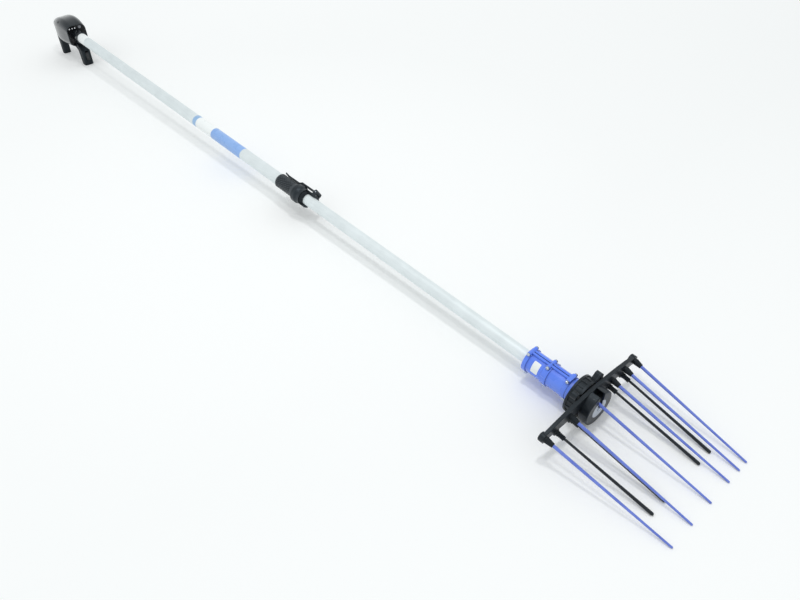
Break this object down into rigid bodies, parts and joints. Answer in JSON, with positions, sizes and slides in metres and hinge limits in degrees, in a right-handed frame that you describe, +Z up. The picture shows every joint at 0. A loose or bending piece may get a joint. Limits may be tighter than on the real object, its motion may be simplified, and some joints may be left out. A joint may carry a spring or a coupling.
{
  "type": "electric olive harvester",
  "caption": "Electric olive harvester: a rocking comb of tines on a crank-driven gear head, a telescopic clamp pole, and a rear handle with trigger, panel and power inlet.",
  "frame": {"origin": "on the floor, in the middle of the tool's overall length and width", "axes": "+X towards the tips of the comb, +Y to the left of someone holding the handle, +Z up; the pole tips nose down by about 1.5 degrees because it lies on its feet and gear case"},
  "size_m": [2.7648, 0.3114, 0.1547],
  "materials": {
    "black_nylon": "moulded, satin",
    "blue_housing": "moulded, semi-gloss",
    "blue_tines": "smooth rod",
    "black_tines": "smooth rod",
    "boot_rubber": "soft, matte",
    "grey_plate": "satin",
    "tube": "anodised, satin",
    "steel": "plated",
    "bearing_bronze": "sintered",
    "magnet": "ferrite, matte",
    "lead_sheath": "smooth sheath",
    "handle_black": "moulded, semi-gloss",
    "panel_black": "gloss",
    "light_lens": "clear lens",
    "board": "lacquered board"
  },
  "bodies": {
    "handle": {"handle_shell_left": "handle_black", "handle_shell_right": "handle_black", "handle_screws": "steel", "foot_pads": "boot_rubber", "front_panel": "panel_black", "panel_lights": "light_lens", "control_board": "board", "trigger_switch": "black_nylon", "trigger_pin": "steel", "power_inlet": "panel_black", "outer_tube": "tube", "tube_plug": "black_nylon", "coiled_lead": "lead_sheath", "clamp_sleeve": "black_nylon", "clamp_body": "black_nylon", "clamp_pin": "steel"},
    "front_pole": {"inner_tube": "tube", "guide_bush": "black_nylon", "motor_housing_left": "blue_housing", "motor_housing_right": "blue_housing", "housing_screws": "steel", "housing_nuts": "steel", "motor_can": "steel", "motor_end_cap": "black_nylon", "motor_bushes": "bearing_bronze", "motor_magnets": "magnet", "gear_case": "black_nylon", "case_cover": "black_nylon", "case_screws": "steel", "gear_post": "steel", "output_bush": "bearing_bronze", "motor_lead": "lead_sheath"},
    "rotor": {"motor_armature": "steel", "motor_shaft": "steel", "drive_pinion": "steel"},
    "crank": {"crank_gear": "steel", "crank_pin": "steel"},
    "comb": {"output_shaft": "steel", "rocker_lever": "steel", "thrust_washer": "bearing_bronze", "comb_bar": "black_nylon", "comb_hub": "black_nylon", "hub_plate": "grey_plate", "hub_bolt": "steel", "upper_boots": "boot_rubber", "lower_boots": "boot_rubber", "upper_tine_1": "blue_tines", "upper_tine_2": "blue_tines", "upper_tine_3": "blue_tines", "upper_tine_4": "blue_tines", "upper_tine_5": "blue_tines", "upper_tine_6": "blue_tines", "lower_tine_1": "black_tines", "lower_tine_2": "black_tines", "lower_tine_3": "black_tines", "lower_tine_4": "black_tines"},
    "trigger": {"trigger": "handle_black"},
    "power_button": {"power_button": "panel_black"},
    "clamp_lever": {"clamp_lever": "black_nylon"}
  },
  "joints": [
    {"name": "telescope", "type": "slide", "parent": "handle", "child": "front_pole", "axis": [0.9997, 0, -0.0259], "range_m": [-0.72, 0], "deforming": ["coiled_lead"]},
    {"name": "rotor_spin", "type": "hinge", "parent": "front_pole", "child": "rotor", "pos_m": [1.05718, 0, 0.04482], "axis": [0.9997, 0, -0.0259], "continuous": true},
    {"name": "crank_spin", "type": "hinge", "parent": "front_pole", "child": "crank", "pos_m": [1.07312, 0, 0.0228], "axis": [0.9997, 0, -0.0259], "continuous": true},
    {"name": "comb_rock", "type": "hinge", "parent": "front_pole", "child": "comb", "pos_m": [1.09417, 0, 0.04387], "axis": [0.9997, 0, -0.0259], "range_deg": [-16, 16]},
    {"name": "clamp_lever_swing", "type": "hinge", "parent": "handle", "child": "clamp_lever", "pos_m": [0.18835, 0.02494, 0.0817], "axis": [-0.0224, 0.5, -0.8657], "range_deg": [0, 95]},
    {"name": "trigger_pull", "type": "hinge", "parent": "handle", "child": "trigger", "pos_m": [-1.20398, 0, 0.04829], "axis": [0, 1, 0], "range_deg": [0, 10], "stiffness_Nm_per_rad": 0.6, "springref_deg": -5.73},
    {"name": "power_press", "type": "slide", "parent": "handle", "child": "power_button", "axis": [-0.9997, 0, 0.0259], "range_m": [0, 0.0012], "stiffness_N_per_m": 600, "springref_m": -0.001}
  ],
  "couplings": [
    {"joint": "crank_spin", "follows": "rotor_spin", "ratio": -0.42105}
  ]
}
